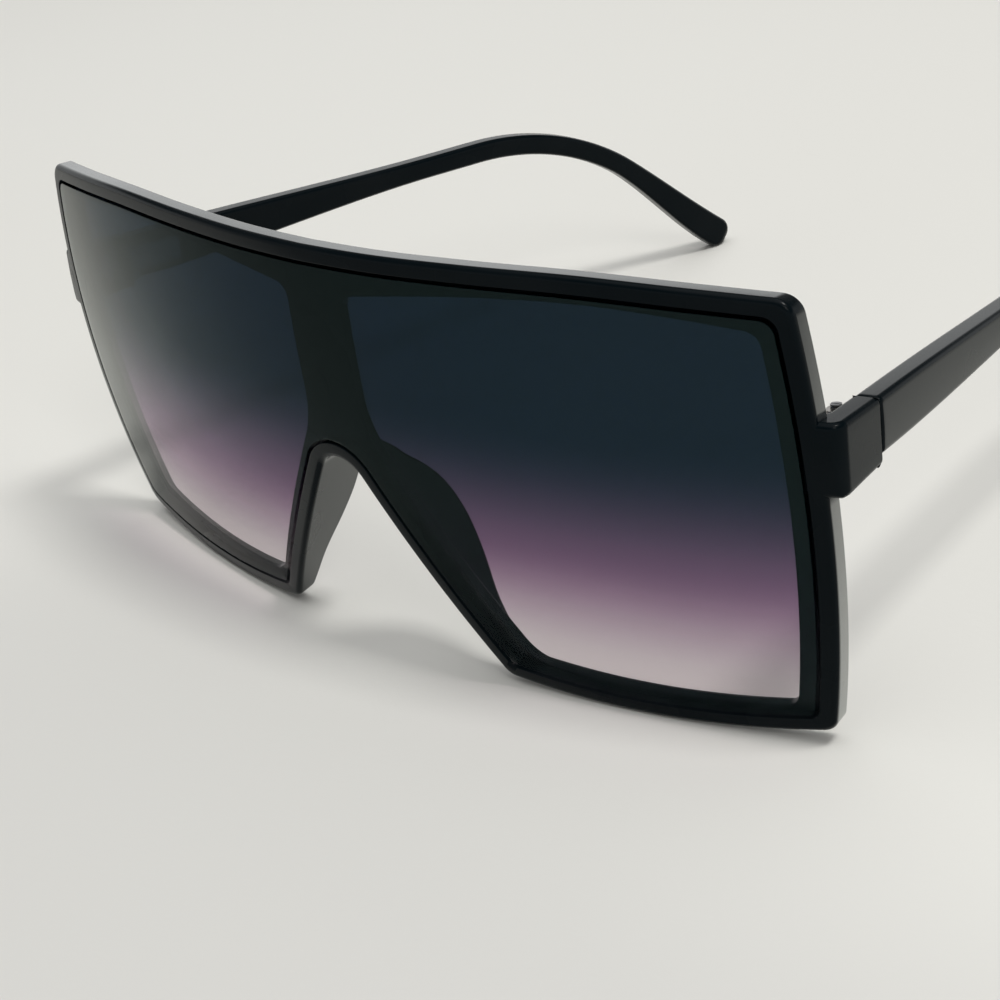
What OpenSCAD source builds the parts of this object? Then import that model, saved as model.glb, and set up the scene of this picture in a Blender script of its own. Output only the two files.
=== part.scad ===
// Oversized flat-top shield sunglasses, standing open on their lower edge and temple tips.
// Left and right are the wearer's: the wearer's left is the +X side, and the front faces -Y.

/* [Front] */
// Width of the front across its rims
front_w = 153.5; // [144:0.5:160]
// Height of the front above its lowest point
front_h = 65; // [58:0.5:70]
// Radius of the front's spherical curve
front_r = 239; // [200:1:300]
// Thickness of the frame from front to back
frame_t = 3.1; // [2.8:0.1:4.5]
// Width of the rim round the lens
rim_w = 2; // [1.4:0.1:2.6]
// Radius of the crowned top edge
top_r = 1600; // [900:10:3000]
// Radius of the bowed side edges
side_r = 140; // [110:1:200]
// Radius of the two bowed bottom edges
bottom_r = 177; // [130:1:260]
// Rounding of the top corners
top_corner_r = 2.6; // [1.5:0.1:4]
// Rounding of the bottom corners
bottom_corner_r = 2; // [1:0.1:3]

/* [Nose] */
// Height of the nose arch
nose_h = 32.5; // [28:0.5:36]
// Rounding at the top of the nose arch
nose_r = 5.2; // [3:0.1:8]
// Lean of each side of the nose arch from upright, in degrees
nose_angle = 32.7; // [28:0.1:36]
// Width of the frame along the nose arch
nose_rim_w = 5.2; // [4.6:0.1:6.5]
// Width of the bridge between the eye openings
bridge_w = 11.4; // [9:0.1:15]
// How far the moulded nose pads reach behind the front
pad_reach = 11; // [6:0.1:12]
// Thickness of a nose pad
pad_t = 2.8; // [1.5:0.1:3.2]
// Splay of the nose pads, in degrees
pad_splay = 5; // [0:1:8]

/* [Lens] */
// Thickness of the lens
lens_t = 1.5; // [1.2:0.1:1.8]
// Width of the groove between the lens and the rim
groove_w = 0.5; // [0.3:0.05:0.8]
// Clearance between the lens and its seat
seat_gap = 0.05; // [0.03:0.01:0.1]

/* [Eye openings] */
// Frame width above each eye opening, at the top of its arch
eye_top_w = 4.7; // [4:0.1:7]
// Radius of the arched top of each eye opening
eye_top_r = 230; // [150:5:600]
// Frame width outside each eye opening
eye_side_w = 5.8; // [4.6:0.1:8]
// Frame width below each eye opening
eye_bottom_w = 4.2; // [3.8:0.1:7]
// Rounding of the openings' corners
eye_corner_r = 3; // [2:0.1:5]

/* [Endpieces] */
// How far the endpieces stand out beyond the rims
end_out = 2.3; // [1.5:0.1:4]
// Length of an endpiece from the front to the temple joint
end_len = 10.2; // [9:0.1:14]
// Height of an endpiece at the temple joint
end_h = 8; // [7.8:0.1:10]
// Flare of an endpiece's height where it joins the front
end_flare = 1.1; // [0.5:0.1:2]
// Rounding of an endpiece's outer front corner
end_corner_r = 1.3; // [1:0.1:3]

/* [Temples] */
// Height of the temple's centreline at the joint
temple_z = 43.3; // [38:0.1:46]
// Inward lean of the temples, in degrees
temple_yaw = 9.2; // [4:0.1:11]
// Downward slope of the temples, in degrees
temple_pitch = 5; // [2:0.1:7]
// Thickness of a temple at its root
temple_t = 3.8; // [3.4:0.1:5]
// Height of a temple at its root
root_h = 7.3; // [7:0.1:9]
// Height of the slim middle of a temple
slim_h = 3.6; // [3:0.1:5]
// Height of the tip behind the ear
tip_h = 6; // [5:0.1:8]
// Thickness of the tip
tip_t = 3; // [2.4:0.1:3.6]
// Straight length of a temple from the joint to the ear bend
straight_len = 74; // [60:1:85]
// Radius of the ear bend
bend_r = 47; // [35:1:60]
// Angle of the ear bend, in degrees
bend_angle = 37; // [30:0.5:42]

/* [Hinges] */
// Outer radius of the hinge knuckles
knuckle_r = 1.3; // [1.2:0.05:1.7]
// Radius of the hinge screw
screw_r = 0.6; // [0.45:0.05:0.75]
// Radius of the screw head
head_r = 1.05; // [0.9:0.05:1.4]
// Thickness of the hinge leaves
leaf_t = 0.9; // [0.6:0.05:1.2]
// Height of the hinge leaves
leaf_h = 4; // [3.4:0.1:4.6]
// Length of the leaf set into the temple
temple_leaf_len = 9; // [6:0.5:14]
// Height of the three knuckles together
barrel_h = 5; // [4.4:0.1:6]

/* [Hidden] */

// Fits and allowances
overrun = 1;
joint_gap = 0.15;
knuckle_gap = 0.1;
pivot_fit = 0.04;
pocket_fit = 0.03;
barrel_clear = 0.3;
ball_facets = 360;
pin_facets = 48;
corner_steps = 4;

// Places on the front
curve_z_share = 0.614;
widest_share = 0.5675;
low_x_share = 0.573;
eye_crest_share = 0.52;
curve_z = front_h * curve_z_share;
widest_z = front_h * widest_share;
low_x = front_w / 2 * low_x_share;
seat_depth = lens_t + seat_gap;
lens_inset = rim_w + groove_w;
cut_depth = front_y(front_w / 2) + frame_t + pad_reach;
nose_apex = nose_h + nose_r / sin(nose_angle) - nose_r;

// Places of the left side frame: its origin is on the joint plane, on the outer face
end_x = front_w / 2 + end_out;
end_y = front_y(end_x);
hinge_x = end_x - end_len * sin(temple_yaw);
hinge_y = end_y + end_len * cos(temple_yaw);

// Places of the hinge in the side frame
axis_x = -(temple_t + barrel_clear + knuckle_r);
axis_y = -1.2;
axis_z = -0.6;
neck_w = leaf_t;
neck_reach = 2 * leaf_t;
mid_knuckle_share = 0.32;
mid_h = barrel_h * mid_knuckle_share;
side_h = (barrel_h - mid_h) / 2 - knuckle_gap;
head_h = 0.6;
slot_w = 0.3;
front_leaf_share = 0.55;
front_leaf_from = -end_len * front_leaf_share;
front_leaf_to = -leaf_t;
temple_leaf_from = leaf_t;

// Temple path: straight, ear bend, then down to the floor
tip_r = tip_h / 2;
bend_len = bend_r * bend_angle * PI / 180;
bend_end_y = straight_len + bend_r * sin(bend_angle);
bend_drop = bend_r * (1 - cos(bend_angle));
bend_end_z = temple_z - bend_end_y * sin(temple_pitch) - bend_drop * cos(temple_pitch);
tip_len = (bend_end_z - tip_r) / sin(temple_pitch + bend_angle);
path_len = straight_len + bend_len + tip_len;
root_taper_share = 0.85;
tip_taper_share = 1.1;
edge_share = 0.18;

// The whole depth, which sets the origin midway between the front and the temple tips
reach_y = bend_end_y + tip_len * cos(bend_angle);
reach_z = -bend_drop - tip_len * sin(bend_angle);
back_y = hinge_y - tip_t / 2 * sin(temple_yaw)
    + (reach_y * cos(temple_pitch) + reach_z * sin(temple_pitch)) * cos(temple_yaw) + tip_r;

// Depth of the front's surface at a distance from the middle
function front_y(x) = front_r - sqrt(front_r * front_r - x * x);

// A smooth step from 0 to 1
function smooth(t) = t <= 0 ? 0 : t >= 1 ? 1 : t * t * (3 - 2 * t);

// Points on an arc between two angles, without its ends
function arc(c, r, a, b, n) = [for (i = [1:n - 1]) let (t = a + (b - a) * i / n)
    [c.x + r * cos(t), c.y + r * sin(t), 0]];

// Angle of a point seen from a centre
function bearing(c, p) = atan2(p.y - c.y, p.x - c.x);

// Crossing of two circles, on the side that the sign picks
function crossing(c1, r1, c2, r2, s) = let (
    v = c2 - c1,
    d = norm(v),
    a = (d * d + r1 * r1 - r2 * r2) / (2 * d),
    h = sqrt(r1 * r1 - a * a))
    c1 + a * v / d + s * h * [-v.y, v.x] / d;

// Where a line from p along u leaves a circle
function leaving(p, u, c, r) = let (
    w = p - c,
    b = w * u)
    p + (-b + sqrt(b * b - w * w + r * r)) * u;

// Replaces the corner b between a and c by an arc of radius r
function fillet(a, b, c, r, n) = let (
    u = (a - b) / norm(a - b),
    v = (c - b) / norm(c - b),
    half = acos(u * v) / 2,
    m = (u + v) / norm(u + v),
    o = b + m * r / sin(half),
    p = b + u * r / tan(half),
    q = b + v * r / tan(half),
    a0 = bearing(o, p),
    turn = bearing(o, q) - a0,
    sweep = turn > 180 ? turn - 360 : turn < -180 ? turn + 360 : turn)
    [for (i = [0:n]) o + r * [cos(a0 + sweep * i / n), sin(a0 + sweep * i / n)]];

// A closed outline whose points carry their rounding as a third value
function rounded(pts, n) = let (k = len(pts)) [for (i = [0:k - 1]) let (
    b = [pts[i].x, pts[i].y],
    a = [pts[(i + k - 1) % k].x, pts[(i + k - 1) % k].y],
    c = [pts[(i + 1) % k].x, pts[(i + 1) % k].y])
    each (pts[i].z <= 0 ? [b] : fillet(a, b, c, pts[i].z, n))];

// Circles that bound the front, seen from the front
top_c = [0, front_h - top_r];
side_c = [front_w / 2 - side_r, widest_z];
bottom_c = [low_x, bottom_r];
nose_u = [sin(nose_angle), -cos(nose_angle)];

// Corners of the left half, each edge moved inward by its own distance
function low_corner(s, b) = crossing(side_c, side_r - s, bottom_c, bottom_r - b, -1);
function nose_corner(b, n) = leaving(nose_top(n), nose_u, bottom_c, bottom_r - b);
function nose_top(n) = [0, nose_apex + n / sin(nose_angle)];

// Edges of the left half, from a top edge of radius tr about tc to the nose corner
function half_edge(tc, tr, s, b, n, top_a, r1, r2, r3) = let (
    p = crossing(tc, tr, side_c, side_r - s, -1),
    q = low_corner(s, b),
    w = nose_corner(b, n))
    concat(
        arc(tc, tr, top_a, bearing(tc, p), 6),
        [[p.x, p.y, r1]],
        arc(side_c, side_r - s, bearing(side_c, p), bearing(side_c, q), 10),
        [[q.x, q.y, r2]],
        arc(bottom_c, bottom_r - b, bearing(bottom_c, q), bearing(bottom_c, w), 8),
        [[w.x, w.y, r3]]);

// Outline of the whole front, moved inward all round
function front_outline(d) = let (
    r = bottom_corner_r - d / 2,
    half = half_edge(top_c, top_r - d, d, d, d, 90, top_corner_r - d / 2, r, r),
    k = len(half))
    rounded(concat(half,
        [[0, nose_top(d).y, nose_r + d]],
        [for (i = [k - 1:-1:0]) [-half[i].x, half[i].y, half[i].z]],
        [[0, front_h - d, 0]]), corner_steps);

// Outline of the left eye opening
eye_bend_r = 3 * nose_rim_w;
eye_crest = [front_w / 2 * eye_crest_share, front_h - eye_top_w];
eye_top_c = eye_crest - [0, eye_top_r];
function eye_outline() = let (
    x = bridge_w / 2,
    z = eye_top_c.y + sqrt(pow(eye_top_r, 2) - pow(x - eye_top_c.x, 2)),
    r = eye_corner_r,
    bend_z = nose_top(nose_rim_w).y - x / tan(nose_angle))
    rounded(concat(
        [[x, z, r]],
        half_edge(eye_top_c, eye_top_r, eye_side_w, eye_bottom_w, nose_rim_w,
            bearing(eye_top_c, [x, z]), r, r, r),
        [[x, bend_z, eye_bend_r]]), corner_steps);

// A ball about the centre of the front's curve
module ball(r) {
    translate([0, front_r, curve_z])
        sphere(r = r, $fn = ball_facets);
}

// A shell between two radii of the front's curve
module shell(outer, inner) {
    difference() {
        ball(outer);
        ball(inner);
    }
}

// An outline on the front's surface pushed back towards the centre of its curve,
// so that the walls stand square to the front
module radial_cut(outline, depth = cut_depth) {
    centre = [0, curve_z];
    near = (front_r - depth) / front_r;
    translate([0, depth, curve_z])
        rotate([90, 0, 0])
            linear_extrude(depth + overrun, scale = (front_r + overrun) / (front_r - depth))
                polygon([for (p = outline) let (v = p - centre)
                    v * near * front_r / sqrt(front_r * front_r - v * v)]);
}

module both_sides() {
    children();
    mirror([1, 0, 0])
        children();
}

// Moves the assembly so that the origin is midway along its depth, on the floor
module placed(side = 1) {
    translate([0, -back_y / 2, 0])
        mirror([side < 0 ? 1 : 0, 0, 0])
            children();
}

// The frame of the left temple: +Y along the temple, +X outward, +Z up the joint
module side_frame() {
    translate([hinge_x, hinge_y, temple_z])
        rotate([-temple_pitch, 0, temple_yaw])
            children();
}

// Plan of the endpiece, which widens to meet the rim
end_knee_share = 0.64;
end_root_share = 0.8;
module endpiece_plan() {
    lean = asin(end_x / front_r) - temple_yaw;
    inner = temple_t + rim_w;
    pts = [
        [0, -end_len, end_corner_r],
        [0, -joint_gap, 0],
        [-temple_t, -joint_gap, 0],
        [-temple_t, -end_len * end_knee_share, frame_t / 2],
        [-inner, -end_len * end_root_share, 0],
        [-inner, -end_len - inner * tan(lean) - frame_t, 0],
        [-inner / 2, -end_len - inner / 2 * tan(lean), 0]];
    polygon(rounded(pts, corner_steps));
}

// Side view of the endpiece, which is taller where it joins the front
module endpiece_side() {
    low = -end_h / 2 - (end_h - root_h) / 2;
    high = low + end_h;
    front = -end_len - frame_t;
    pts = [
        [front, low - end_flare, 0],
        [-joint_gap, low, end_corner_r / 2],
        [-joint_gap, high, end_corner_r / 3],
        [front, high + end_flare / 4, 0]];
    polygon(rounded(pts, corner_steps));
}

module endpiece() {
    intersection() {
        ball(front_r);
        side_frame()
            translate([0, 0, -end_h])
                linear_extrude(2 * end_h)
                    endpiece_plan();
        side_frame()
            translate([overrun, 0, 0])
                rotate([90, 0, 90])
                    translate([0, 0, -temple_t - rim_w - 2 * overrun])
                        linear_extrude(temple_t + rim_w + 2 * overrun)
                            endpiece_side();
    }
}

// Strip along one side of the nose arch, seen from the front
pad_step = 0.15;
pad_foot_share = 0.94;
module pad_strip() {
    near = nose_top(pad_step);
    far = nose_top(pad_step + pad_t);
    side = norm(nose_corner(0, 0) - nose_top(0)) * pad_foot_share;
    polygon([
        near + nose_r * nose_u,
        near + side * nose_u,
        far + side * nose_u,
        far + nose_r * nose_u]);
}

// Side view of a nose pad: each point has its reach, height and rounding
pad_side_shares = [
    [0, 1.1, 0],
    [0.45, 1.05, 0.6],
    [1.03, 0.82, 0.6],
    [1.03, 0.52, 0.9],
    [0.74, 0.28, 1],
    [0.7, 0, 0],
    [0, 0, 0]];
module pad_side() {
    pts = [for (s = pad_side_shares) [s[0] * pad_reach, s[1] * nose_h, s[2] * pad_reach]];
    polygon(rounded(pts, corner_steps));
}

// Left nose pad, moulded with the frame and splayed as it goes back
module nose_pad() {
    mid = (nose_top(0) + nose_corner(0, 0)) / 2;
    intersection() {
        ball(front_r - seat_depth - pad_step);
        translate([mid.x, 0, 0])
            rotate([0, 0, -pad_splay])
                translate([-mid.x, cut_depth, 0])
                    rotate([90, 0, 0])
                        linear_extrude(cut_depth + overrun)
                            pad_strip();
        rotate([90, 0, 90])
            linear_extrude(front_w / 2)
                pad_side();
    }
}

// Seat of a hinge leaf in the inner face of a temple or endpiece, from one end to the other
module leaf_seat(from, to) {
    translate([-temple_t - overrun, from - pocket_fit, axis_z - leaf_h / 2 - pocket_fit])
        cube([overrun + leaf_t + pocket_fit, to - from + 2 * pocket_fit, leaf_h + 2 * pocket_fit]);
}

module front_frame() {
    color([0.03, 0.035, 0.04])
        placed()
            difference() {
                union() {
                    difference() {
                        intersection() {
                            shell(front_r, front_r - frame_t);
                            radial_cut(front_outline(0));
                        }
                        both_sides()
                            radial_cut(eye_outline());
                    }
                    both_sides()
                        endpiece();
                    both_sides()
                        nose_pad();
                }
                intersection() {
                    shell(front_r + overrun, front_r - seat_depth);
                    radial_cut(front_outline(rim_w));
                }
                both_sides()
                    side_frame()
                        leaf_seat(front_leaf_from, front_leaf_to);
            }
}

// One gradient shield lens, seated flush in the front of the frame
module shield_lens() {
    color([0.28, 0.22, 0.32, 0.85])
        placed()
            intersection() {
                shell(front_r, front_r - lens_t);
                radial_cut(front_outline(lens_inset));
            }
}

// A plate set in the inner face, with rounded corners at its far end
module leaf_plate(from, to, far) {
    r = leaf_h / 4;
    near = from + to - far;
    pts = [
        [near, -leaf_h / 2, 0],
        [far, -leaf_h / 2, r],
        [far, leaf_h / 2, r],
        [near, leaf_h / 2, 0]];
    translate([-temple_t, 0, axis_z])
        rotate([90, 0, 90])
            linear_extrude(leaf_t)
                polygon(rounded(pts, corner_steps));
}

// A knuckle with its bore, joined to the plate by a neck that is no taller than the plate
module knuckle(low, high, root_y, bore_r) {
    foot = [leaf_t / 2 - temple_t, root_y];
    centre = [axis_x, axis_y];
    u = (foot - centre) / norm(foot - centre);
    n = [-u.y, u.x] * neck_w / 2;
    neck_low = max(low, axis_z - leaf_h / 2);
    neck_high = min(high, axis_z + leaf_h / 2);
    difference() {
        union() {
            translate([axis_x, axis_y, low])
                cylinder(r = knuckle_r, h = high - low, $fn = pin_facets);
            translate([0, 0, neck_low])
                linear_extrude(neck_high - neck_low)
                    polygon([centre + n, foot + n, foot - n, centre - n]);
        }
        translate([axis_x, axis_y, low - overrun])
            cylinder(r = bore_r, h = high - low + 2 * overrun, $fn = pin_facets);
    }
}

// Leaf with two knuckles, fixed in the endpiece
module front_hinge_leaf(side) {
    color([0.75, 0.75, 0.77])
        placed(side)
            side_frame() {
                top = axis_z + barrel_h / 2;
                bottom = axis_z - barrel_h / 2;
                foot_y = front_leaf_to - neck_reach - neck_w;
                leaf_plate(front_leaf_from, front_leaf_to, front_leaf_from);
                knuckle(top - side_h, top, foot_y, screw_r + pivot_fit);
                knuckle(bottom, bottom + side_h, foot_y, screw_r + pivot_fit);
            }
}

// Leaf with one knuckle, fixed in the temple
module temple_hinge_leaf(side) {
    color([0.75, 0.75, 0.77])
        placed(side)
            side_frame() {
                leaf_plate(temple_leaf_from, temple_leaf_len, temple_leaf_len);
                knuckle(axis_z - mid_h / 2, axis_z + mid_h / 2, temple_leaf_from + neck_reach,
                    screw_r + pivot_fit);
            }
}

// Slotted screw that is the hinge's pin
module hinge_screw(side) {
    foot = barrel_h / 2 + head_h / 2;
    color([0.8, 0.8, 0.82])
        placed(side)
            side_frame()
                translate([axis_x, axis_y, axis_z])
                    difference() {
                        union() {
                            translate([0, 0, -foot])
                                cylinder(r = screw_r, h = foot + barrel_h / 2, $fn = pin_facets);
                            translate([0, 0, barrel_h / 2])
                                cylinder(r = head_r, h = head_h, $fn = pin_facets);
                        }
                        translate([-head_r - overrun, -slot_w / 2, barrel_h / 2 + head_h / 2])
                            cube([2 * (head_r + overrun), slot_w, head_h]);
                    }
}

// Temple path: distance along it gives a place and a slope in the side frame
function path_angle(s) = s < straight_len ? 0
    : s < straight_len + bend_len ? (s - straight_len) / bend_r * 180 / PI
    : bend_angle;
function path_place(s) = let (a = path_angle(s))
    s < straight_len ? [s, 0]
    : [straight_len + bend_r * sin(a), -bend_r * (1 - cos(a))]
        + max(0, s - straight_len - bend_len) * [cos(a), -sin(a)];

// Height and thickness along the temple
function path_height(s) = slim_h
    + (root_h - slim_h) * (1 - smooth(s / (straight_len * root_taper_share)))
    + (tip_h - slim_h) * smooth(1 - (path_len - s) / (tip_len * tip_taper_share));
function path_thickness(s) = temple_t + (tip_t - temple_t) * s / path_len;

// One rounded rectangle across the temple, of height h and thickness t about its place
function temple_ring(s, ahead, h, t) = let (
    a = path_angle(s),
    p = path_place(s) + ahead * [cos(a), -sin(a)],
    r = min(h, t) * edge_share,
    mid = -path_thickness(s) / 2)
    [for (k = [0:3]) for (i = [0:corner_steps - 1]) let (
        g = 90 * k + 90 * i / (corner_steps - 1),
        x = (k == 0 || k == 3 ? 1 : -1) * (t / 2 - r) + r * cos(g),
        z = (k < 2 ? 1 : -1) * (h / 2 - r) + r * sin(g))
        [mid + x, p.x + z * sin(a), p.y + z * cos(a)]];

// Rings from the root to the round end of the tip
straight_rings = 12;
bend_rings = 10;
tip_rings = 8;
cap_rings = 6;
cap_side_share = 0.45;
temple_rings = concat(
    [for (i = [0:straight_rings - 1])
        let (s = joint_gap + (straight_len - joint_gap) * i / straight_rings)
        temple_ring(s, 0, path_height(s), path_thickness(s))],
    [for (i = [0:bend_rings - 1])
        let (s = straight_len + bend_len * i / bend_rings)
        temple_ring(s, 0, path_height(s), path_thickness(s))],
    [for (i = [0:tip_rings - 1])
        let (s = straight_len + bend_len + tip_len * i / tip_rings)
        temple_ring(s, 0, path_height(s), path_thickness(s))],
    [for (i = [0:cap_rings - 1])
        let (g = 84 * i / (cap_rings - 1))
        temple_ring(path_len, tip_r * sin(g), tip_h * cos(g), tip_t * pow(cos(g), cap_side_share))]);

module temple_body() {
    n = 4 * corner_steps;
    m = len(temple_rings);
    points = [for (ring = temple_rings) each ring];
    sides = [for (j = [0:m - 2]) for (i = [0:n - 1]) let (
        a = j * n + i,
        b = j * n + (i + 1) % n)
        each [[a, b, b + n], [a, b + n, a + n]]];
    root = [for (i = [n - 1:-1:0]) i];
    end = [for (i = [0:n - 1]) (m - 1) * n + i];
    polyhedron(points, concat(sides, [root, end]), convexity = 4);
}

module temple(side) {
    color([0.03, 0.035, 0.04])
        placed(side)
            side_frame()
                difference() {
                    temple_body();
                    leaf_seat(temple_leaf_from, temple_leaf_len);
                }
}

front_frame();
shield_lens();
front_hinge_leaf(1);  // front_hinge_leaf_left
front_hinge_leaf(-1);  // front_hinge_leaf_right
temple_hinge_leaf(1);  // temple_hinge_leaf_left
temple_hinge_leaf(-1);  // temple_hinge_leaf_right
hinge_screw(1);  // hinge_screw_left
hinge_screw(-1);  // hinge_screw_right
temple(1);  // temple_left
temple(-1);  // temple_right
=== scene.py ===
# %% [markdown]
# # Oversized shield sunglasses
# The object is a pair of large flat-topped sunglasses in polished black plastic, with one
# lens that fades from slate at the top to pale mauve at the bottom. Its sizes come from a
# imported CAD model, which is loaded first and is never moved. Each visible piece is then
# modelled again in more detail, in the place that the CAD model gives it.

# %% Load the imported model
from math import asin, cos, pi, radians, sin, sqrt, tan

import bmesh
import bpy
from mathutils import Matrix, Vector


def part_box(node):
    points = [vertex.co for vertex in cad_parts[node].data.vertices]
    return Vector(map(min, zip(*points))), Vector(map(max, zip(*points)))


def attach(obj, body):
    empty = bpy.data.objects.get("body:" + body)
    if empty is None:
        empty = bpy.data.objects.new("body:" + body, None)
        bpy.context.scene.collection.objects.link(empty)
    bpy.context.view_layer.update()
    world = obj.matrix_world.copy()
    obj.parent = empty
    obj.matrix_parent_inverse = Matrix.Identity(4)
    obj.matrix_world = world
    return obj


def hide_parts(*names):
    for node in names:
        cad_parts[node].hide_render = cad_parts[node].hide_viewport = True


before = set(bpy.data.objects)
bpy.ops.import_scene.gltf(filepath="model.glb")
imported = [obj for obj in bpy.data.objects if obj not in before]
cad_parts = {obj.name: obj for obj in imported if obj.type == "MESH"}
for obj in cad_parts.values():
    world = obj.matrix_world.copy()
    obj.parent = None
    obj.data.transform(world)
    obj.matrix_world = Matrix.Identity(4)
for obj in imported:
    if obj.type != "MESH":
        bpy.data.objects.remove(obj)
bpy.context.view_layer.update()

MM = 0.001
bpy.ops.object.select_all(action="DESELECT")
print("nodes:", sorted(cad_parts))

# %% [markdown]
# ## The view
# The camera stands to the wearer's left, above the glasses and close enough for the near
# corner to look clearly larger than the far one. Its direction is written as two turns
# and a roll, because those are what a photographer sets by hand, and the matrix is built
# from them.

# %% Camera
CAMERA_PLACE = Vector((228.02, -244.63, 162.97)) * MM
CAMERA_TURN = radians(49.01)
CAMERA_RISE = radians(26.55)
CAMERA_ROLL = radians(-10.71)
CAMERA_LENS = 80.1

backward = Vector((sin(CAMERA_TURN) * cos(CAMERA_RISE),
                   -cos(CAMERA_TURN) * cos(CAMERA_RISE),
                   sin(CAMERA_RISE)))
level = Vector((cos(CAMERA_TURN), sin(CAMERA_TURN), 0))
above = backward.cross(level)
rightward = cos(CAMERA_ROLL) * level + sin(CAMERA_ROLL) * above
upward = cos(CAMERA_ROLL) * above - sin(CAMERA_ROLL) * level

bpy.ops.object.camera_add()
camera = bpy.context.object
turn = Matrix((rightward, upward, backward)).transposed().to_4x4()
camera.matrix_world = Matrix.Translation(CAMERA_PLACE) @ turn
camera.data.lens = CAMERA_LENS
camera.data.clip_start = 10 * MM
bpy.context.scene.camera = camera
print("camera distance in mm:", round(CAMERA_PLACE.length / MM))

# %% [markdown]
# ## Writing materials as sums
# A material is a graph of nodes. Wrapping a socket in a small class lets the graph be
# written as ordinary arithmetic, and each operator adds one Math node. Every other node
# comes from one method that takes its type, its settings and its sockets.


# %% A socket that can be added and multiplied
class Socket:
    """One output of a node. Arithmetic on it adds Math nodes."""

    def __init__(self, finish, out):
        self.finish = finish
        self.out = out

    def math(self, operation, first, second):
        """Adds one Math node."""
        return self.finish.add("ShaderNodeMath", {"operation": operation}, {0: first, 1: second})

    def __add__(self, other):
        return self.math("ADD", self, other)

    def __radd__(self, other):
        return self.math("ADD", other, self)

    def __sub__(self, other):
        return self.math("SUBTRACT", self, other)

    def __rsub__(self, other):
        return self.math("SUBTRACT", other, self)

    def __mul__(self, other):
        return self.math("MULTIPLY", self, other)

    def __rmul__(self, other):
        return self.math("MULTIPLY", other, self)

    def __pow__(self, other):
        return self.math("POWER", self, other)

    def step(self, low, high):
        """0 below low and 1 above high, with a smooth rise between them."""
        return self.finish.add(
            "ShaderNodeMapRange", {"interpolation_type": "SMOOTHSTEP"},
            {"Value": self, "From Min": low, "From Max": high})

    def ramp(self, low, high):
        """0 below low and 1 above high, with a straight rise between them."""
        return self.finish.add(
            "ShaderNodeMapRange", {"clamp": True},
            {"Value": self, "From Min": low, "From Max": high})


# %% A finish that holds one material
class Finish:
    """One material, or the world, and the methods that fill its node tree."""

    def __init__(self, name, kinds=bpy.data.materials):
        self.material = kinds.new(name)
        self.material.use_nodes = True
        self.tree = self.material.node_tree
        self.tree.nodes.clear()
        self.place = self.add("ShaderNodeTexCoord", {}, {}, "Object")

    def add(self, kind, settings, sockets, out=0):
        """Adds a node: its settings first, then the values or links of its sockets."""
        node = self.tree.nodes.new(kind)
        for key, value in settings.items():
            setattr(node, key, value)
        for key, value in sockets.items():
            if isinstance(value, Socket):
                self.tree.links.new(value.out, node.inputs[key])
            else:
                node.inputs[key].default_value = value
        return Socket(self, node.outputs[out])

    def noise(self, scale, detail=2, place=None):
        """A cloudy pattern from 0 to 1, finer with a larger scale."""
        return self.add("ShaderNodeTexNoise", {},
                        {"Vector": place or self.place, "Scale": scale, "Detail": detail})

    def stretched(self, scales):
        """The place on the piece, stretched by its own amount along each axis."""
        return self.add("ShaderNodeMapping", {}, {"Vector": self.place, "Scale": scales})

    def blend(self, share, first, second):
        """A colour between two colours."""
        return self.add("ShaderNodeMix", {"data_type": "RGBA"}, {0: share, 6: first, 7: second}, 2)

    def bump(self, height, distance):
        """A surface direction that follows small heights."""
        return self.add("ShaderNodeBump", {}, {"Height": height, "Distance": distance}, "Normal")

    def mix(self, share, first, second):
        """A shader between two shaders."""
        return self.add("ShaderNodeMixShader", {}, {0: share, 1: first, 2: second})

    def done(self, shader, output="ShaderNodeOutputMaterial"):
        """Ends the graph with a shader and gives the material, or the world."""
        node = self.tree.nodes.new(output)
        self.tree.links.new(shader.out, node.inputs["Surface"])
        print("finish", self.material.name, "has", len(self.tree.nodes), "nodes")
        return self.material


# %% [markdown]
# ## Floor and light
# The glasses stand on a sheet of off-white paper in a softly lit room. A plain plane is
# enough for the paper, with a faint fibre and a slow change of tone so that it doesn't
# look like a flat fill. In front of the glasses its colour is a little darker, which is
# painted shade. The room has pale walls near the horizon and a pale ceiling, and the dim
# gap between them is what draws a dark band along each polished edge. The camera itself
# sees an even backdrop. Two soft lamps, a main one high on the right and a weaker one
# lower in front, give the shadows their direction.

# %% Floor
FLOOR_SIZE = 8.0
# Painted shade: the paper in front of the glasses gets a darker colour than its own tone behind
PAINTED_SHADE_PAPER = (0.668, 0.662, 0.631, 1)
REAR_PAPER, REAR_PAPER_PALE = (0.764, 0.755, 0.712, 1), (0.79, 0.783, 0.741, 1)
# Where the full painted shade in front ends, and where the paper's own tone behind begins
FRONT_Y, REAR_Y = -118 * MM, -50 * MM
FIBRE_HEIGHT = 0.02 * MM

bpy.ops.mesh.primitive_plane_add(size=FLOOR_SIZE)
floor = bpy.context.object
floor.name = "paper_floor"
paper = Finish("off_white_paper")
tone = paper.noise(3.0, 1).step(0.3, 0.7)
fibre = paper.noise(900, 3)
# 0 in front, where the paper has its painted shade, and 1 behind, where it has its own tone
behind = paper.add("ShaderNodeSeparateXYZ", {}, {0: paper.place}, "Y").step(FRONT_Y, REAR_Y)
rear_colour = paper.blend(tone, REAR_PAPER, REAR_PAPER_PALE)
paper_shader = paper.add("ShaderNodeBsdfPrincipled", {}, {
    "Base Color": paper.blend(behind, PAINTED_SHADE_PAPER, rear_colour),
    "Roughness": 0.85,
    "IOR": 1.15,
    "Normal": paper.bump(fibre, FIBRE_HEIGHT)})
floor.data.materials.append(paper.done(paper_shader))

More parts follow.
